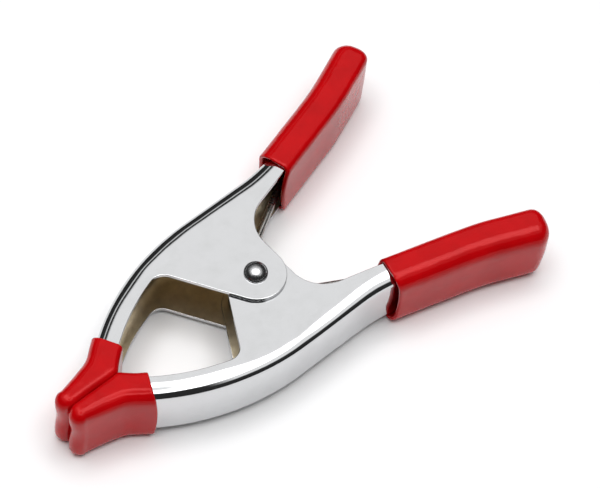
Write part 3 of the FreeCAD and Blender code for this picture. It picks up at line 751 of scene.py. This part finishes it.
def shell(name, side, body, sides, rounds, end_round, mouth, end):
    """A hollow PVC shell between its back and its front, round at its tip and open at its mouth.

    It runs over the outer face to the mouth, round the lip and over the inner face back to the tip.
    """
    back, front = sides
    back_out, front_out = facing_away(back, front), facing_away(front, back)
    centres = [(b + f) / 2 for b, f in zip(back, front)]
    top = HALF + WALL
    last = len(back) - 1
    order = [(i, 0.0) for i in range(1, last - 1)] + [(last - 1, 0.08), (last, 0.3), (last, 0.7)]
    order += [(last - 1, 0.92)] + [(i, 1.0) for i in range(last - 2, 0, -1)]
    points, rings = [], []
    for i, share in order:
        b = back[i] - back_out[i] * WALL * share
        f = front[i] - front_out[i] * WALL * share
        middle, width = (b + f) / 2, (b - f).length
        across = (b - f).normalized()
        along = Vector((across.y, -across.x))
        if along.dot(centres[min(i + 4, last)] - centres[max(i - 4, 0)]) < 0:
            along = -along
        from_tip = (centres[i] - centres[0]).length
        drop = end_round - min(from_tip, end_round)
        height = top - end_round + math.sqrt(end_round ** 2 - drop ** 2) - share * (WALL - FIT)
        at_mouth = smooth(1 - (centres[i] - centres[last]).length / MOUTH_FADE)
        at_tip = smooth(1 - from_tip / TIP_FADE)
        corners = [max(r - WALL * share, 0.4) for r in rounds]
        ring = []
        for u, z in section(width / 2, height, *corners):
            level, span = z / top, 2 * u / width
            shift = at_mouth * mouth(span, level) + at_tip * end(level)
            flat = middle + across * u + along * shift
            spot = Vector((flat.x, flat.y, z))
            swell = RIPPLE * noise.noise(spot / 11 + Vector((0, 0, 3 * side)))
            swell += FINE_RIPPLE * noise.noise(spot / 4)
            flat += across * swell * span
            ring.append(len(points))
            points.append(Vector((flat.x, max(flat.y, TOUCH), z * (1 - 0.05 * abs(swell)))))
        rings.append(ring)
    faces = [face for a, b in zip(rings, rings[1:]) for face in strip(a, b, closed=True)]
    faces += closing(rings[0]) + [face[::-1] for face in closing(rings[-1])]
    mesh = new_mesh(name, points, faces, side, RED)
    face_outwards(mesh)
    item = new_piece(name, mesh)
    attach(item, body)


def sleeve_mouth(u, z):
    """How far a sleeve's mouth is bowed, from its front at -1 to its back at 1."""
    return (1 - z * z) * (0.25 - 1.75 * u)


def sleeve_end(z):
    """How far a sleeve's end slopes in below its middle."""
    return 1.2 * max(-z, 0)


def sleeve(body, side):
    """A sleeve on a handle."""
    shell(body + "_grip", side, body, sleeve_sides(), (5.0, 2.6), 3.6, sleeve_mouth, sleeve_end)


def cap_mouth(u, z):
    """How far a cap's mouth bulges at its back and falls short at its front."""
    return (1 - z * z) * 1.2 * max(u, 0) - 0.65 * (1 - u)


def cap_waist(z):
    """How far a cap's nose is drawn in at a height, between an upper and a lower lobe."""
    return 0.8 * (0.55 - smooth(abs(z) / 0.65) + 0.45 * smooth((abs(z) - 0.65) / 0.35))


def cap(body, side):
    """A cap on a jaw's nose."""
    shell(body + "_tip", side, body, cap_sides(), (4.0, 2.0), 3.4, cap_mouth, cap_waist)


# ---- Rivet and spring ----

HEAD, HEAD_HEIGHT = 3.9, 2.8                    # radius and height of the rivet's head
TAIL, TAIL_HEIGHT = 4.2, 1.2                    # the same for its tail
SHANK = HOLE - 0.02    # radius of its shank
SEAT = HALF - 0.12     # head and tail press a little into the ears
RIVET_POINTS = 64
WIRE = 1.25            # half the wire's thickness
WIRE_POINTS = 16
COIL, COIL_HEIGHT, COIL_TURNS = 6.6, 13.66, 5.339               # of the wire's middle line
COIL_STEPS = 200
ARM, ARM_ANGLE, ARM_STEPS = 52.0, 29.0, 24      # an arm's length and slope


def rivet_profile():
    """Radius and height from the head's top over the shank to the middle of the tail."""
    found = [(0.0, HALF + HEAD_HEIGHT)]
    for i in range(1, 15):
        angle = math.radians(90 * i / 14)
        dome = (HEAD_HEIGHT - 0.2) * math.cos(angle) ** 1.15
        found.append((HEAD * math.sin(angle) ** 0.92, HALF + 0.2 + dome))
    found += [(HEAD, HALF + 0.05), (HEAD - 0.15, SEAT), (SHANK, SEAT)]
    found += [(SHANK, -SEAT), (TAIL - 0.2, -SEAT), (TAIL, -HALF - 0.1)]
    found += [(TAIL - 0.05, -HALF - TAIL_HEIGHT * 0.6), (TAIL - 0.5, -HALF - TAIL_HEIGHT * 0.93)]
    bottom = -HALF - TAIL_HEIGHT
    return found + [(TAIL - 1.2, bottom), (1.2, bottom + 0.12), (0.0, bottom + 0.15)]


def rivet(name):
    """Domed head above, a shank, and a tail hammered flat below, a little uneven."""
    points, rings = [], []
    for radius, z in rivet_profile():
        if radius == 0:
            rings.append([len(points)] * RIVET_POINTS)
            points.append(Vector((0, 0, z)))
            continue
        rings.append(list(range(len(points), len(points) + RIVET_POINTS)))
        for i in range(RIVET_POINTS):
            spot = unit(360 * i / RIVET_POINTS)
            uneven = 1 + (0.02 * noise.noise(Vector((*spot, z))) if z < 0 else 0)
            points.append(Vector((*(spot * radius * uneven), z)))
    walls = [face for a, b in zip(rings, rings[1:]) for face in strip(a, b, closed=True)]
    faces = [tuple(dict.fromkeys(face)) for face in reversed_all(walls)]
    item = new_piece(name, new_mesh(name, points, faces, 1, RIVET))
    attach(item, "outer_lever")


def wire_path():
    """The wire's middle line: an arm, the coil upwards round the rivet, and the other arm."""
    foot, turn, low = 90 + ARM_ANGLE, 360 * COIL_TURNS, COIL_HEIGHT / 2
    start = unit(foot).to_3d() * COIL
    path = []
    for i in range(ARM_STEPS):
        arm = unit(ARM_ANGLE).to_3d() * ARM * (1 - i / ARM_STEPS)
        path.append(start + arm + Vector((0, 0, -low)))
    for i in range(COIL_STEPS + 1):
        spot = unit(foot + turn * i / COIL_STEPS) * COIL
        path.append(Vector((spot.x, spot.y, -low + COIL_HEIGHT * i / COIL_STEPS)))
    leave = path[-1]
    return path + [leave + unit(-ARM_ANGLE).to_3d() * ARM * i / ARM_STEPS for i in range(1, ARM_STEPS + 1)]


def spring(name):
    """A close coil round the rivet between two straight arms, one in each handle."""
    path = wire_path()
    last = len(path) - 1
    stations = [(0, 0.35, 0.25), (0, 0.8, 0.06)] + [(i, 1.0, 0.0) for i in range(1, last)]
    stations += [(last, 0.8, -0.06), (last, 0.35, -0.25)]
    points, rings = [], []
    for i, scale, shift in stations:
        along = (path[min(i + 1, last)] - path[max(i - 1, 0)]).normalized()
        side = along.cross(Vector((0, 0, 1))).normalized()
        up = side.cross(along)
        centre = path[i] - along * shift
        rings.append(list(range(len(points), len(points) + WIRE_POINTS)))
        for j in range(WIRE_POINTS):
            spot = unit(360 * j / WIRE_POINTS)
            points.append(centre + (side * spot.x + up * spot.y) * WIRE * scale)
    faces = [face for a, b in zip(rings, rings[1:]) for face in strip(a, b, closed=True)]
    faces += [tuple(reversed(rings[0])), tuple(rings[-1])]
    mesh = new_mesh(name, points, faces, 1, WIRE_STEEL)
    face_outwards(mesh)
    item = new_piece(name, mesh)
    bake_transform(item)


# ---- Studio ----

AIM = Vector((0.01376, -0.0011, 0.0235))        # the camera's target in metres
AZIMUTH, ELEVATION, ROLL = -48.64, 56.58, 7.47  # its direction and tilt in degrees
DISTANCE = 0.924       # in metres
LENS = 173.6           # focal length in millimetres, for a sensor 36 mm wide
# Brightness of the world's parts: the strip's is a share of the ceiling's, the others are added up.
CEILING, RING, STRIP, ROOM = 1.04, 4.6, 0.7, 0.03


def main_camera():
    """The camera, aimed at a point a little off the rivet and turned about its line of sight."""
    camera = bpy.data.cameras.new("camera")
    camera.lens = LENS
    camera.sensor_width = 36.0
    camera.clip_start, camera.clip_end = 0.05, 20.0
    around, above = math.radians(AZIMUTH), math.radians(ELEVATION)
    back = Vector((math.sin(around) * math.cos(above),
                   -math.cos(around) * math.cos(above),
                   math.sin(above)))
    item = bpy.data.objects.new("camera", camera)
    bpy.context.scene.collection.objects.link(item)
    turn = (-back).to_track_quat("-Z", "Y").to_matrix().to_4x4()
    roll = Matrix.Rotation(math.radians(ROLL), 4, "Z")
    item.matrix_world = Matrix.Translation(AIM + back * DISTANCE) @ turn @ roll
    bpy.context.scene.camera = item


def studio_world():
    """A ceiling with a ring near its top and a dark patch in it, a strip of light and a dark room."""
    world = bpy.data.worlds.new("studio")
    bpy.context.scene.world = world
    world.use_nodes = True
    tree = world.node_tree
    background = tree.nodes["Background"]
    coordinates = tree.nodes.new("ShaderNodeTexCoord")

    def dot(direction):
        """How far the world's direction points along another."""
        item = tree.nodes.new("ShaderNodeVectorMath")
        item.operation = "DOT_PRODUCT"
        item.inputs[1].default_value = direction
        tree.links.new(coordinates.outputs["Generated"], item.inputs[0])
        return item.outputs["Value"]

    def soft_step(value, low, high):
        """A value's soft step from 0 at low to 1 at high."""
        item = tree.nodes.new("ShaderNodeMapRange")
        item.interpolation_type = "SMOOTHSTEP"
        item.inputs["From Min"].default_value = low
        item.inputs["From Max"].default_value = high
        tree.links.new(value, item.inputs["Value"])
        return item.outputs["Result"]

    def combine(operation, first, second):
        """Arithmetic on two values."""
        item = tree.nodes.new("ShaderNodeMath")
        item.operation = operation
        for socket, value in zip(item.inputs, (first, second)):
            if isinstance(value, bpy.types.NodeSocket):
                tree.links.new(value, socket)
            else:
                socket.default_value = value
        return item.outputs["Value"]

    rise = dot((0, 0, 1))
    ceiling = soft_step(rise, 0.66, 0.74)
    photographer = Vector((-0.66, -0.75, 0)).normalized() * math.cos(math.radians(50))
    photographer.z = math.sin(math.radians(50))
    shade = soft_step(dot(photographer), 0.93, 0.86)
    strip = combine("MULTIPLY", soft_step(rise, 0.50, 0.53), soft_step(rise, 0.60, 0.57))
    strip = combine("MULTIPLY", strip, soft_step(dot((0.1, 1, 0)), 0.5, 0.7))
    light = combine("MULTIPLY", ceiling, shade)
    light = combine("MAXIMUM", light, combine("MULTIPLY", strip, STRIP))
    ring = combine("MULTIPLY", soft_step(rise, 0.875, 0.93), soft_step(rise, 1.0, 0.955))
    ring = combine("MULTIPLY", ring, RING)
    light = combine("ADD", combine("MULTIPLY", light, CEILING), ring)
    light = combine("ADD", light, ROOM)
    tree.links.new(light, background.inputs["Strength"])
    background.inputs["Color"].default_value = (1.0, 1.0, 1.0, 1)


def floor():
    """A plain white table."""
    half = 3.0
    mesh = bpy.data.meshes.new("floor")
    corners = [(-half, -half, 0), (half, -half, 0), (half, half, 0), (-half, half, 0)]
    mesh.from_pydata(corners, [], [(0, 1, 2, 3)])
    item = bpy.data.objects.new("floor", mesh)
    bpy.context.scene.collection.objects.link(item)
    material, shader, _, _ = new_material("table")
    shader.inputs["Base Color"].default_value = (0.93, 0.93, 0.935, 1)
    shader.inputs["Roughness"].default_value = 0.6
    mesh.materials.append(material)


# ---- Assembly ----

# Each lever's side, how far its ears are pressed in and the height of its fold beside the throat.
for body, side, depth, fold in (("outer_lever", 1, 0.1, 0.16), ("inner_lever", -1, 1.35, 0.0)):
    lever(body, side, depth, fold)
    sleeve(body, side)
    cap(body, side)
rivet("pivot_rivet")
spring("torsion_spring")

main_camera()
studio_world()
floor()
bpy.context.scene.view_settings.view_transform = "Standard"
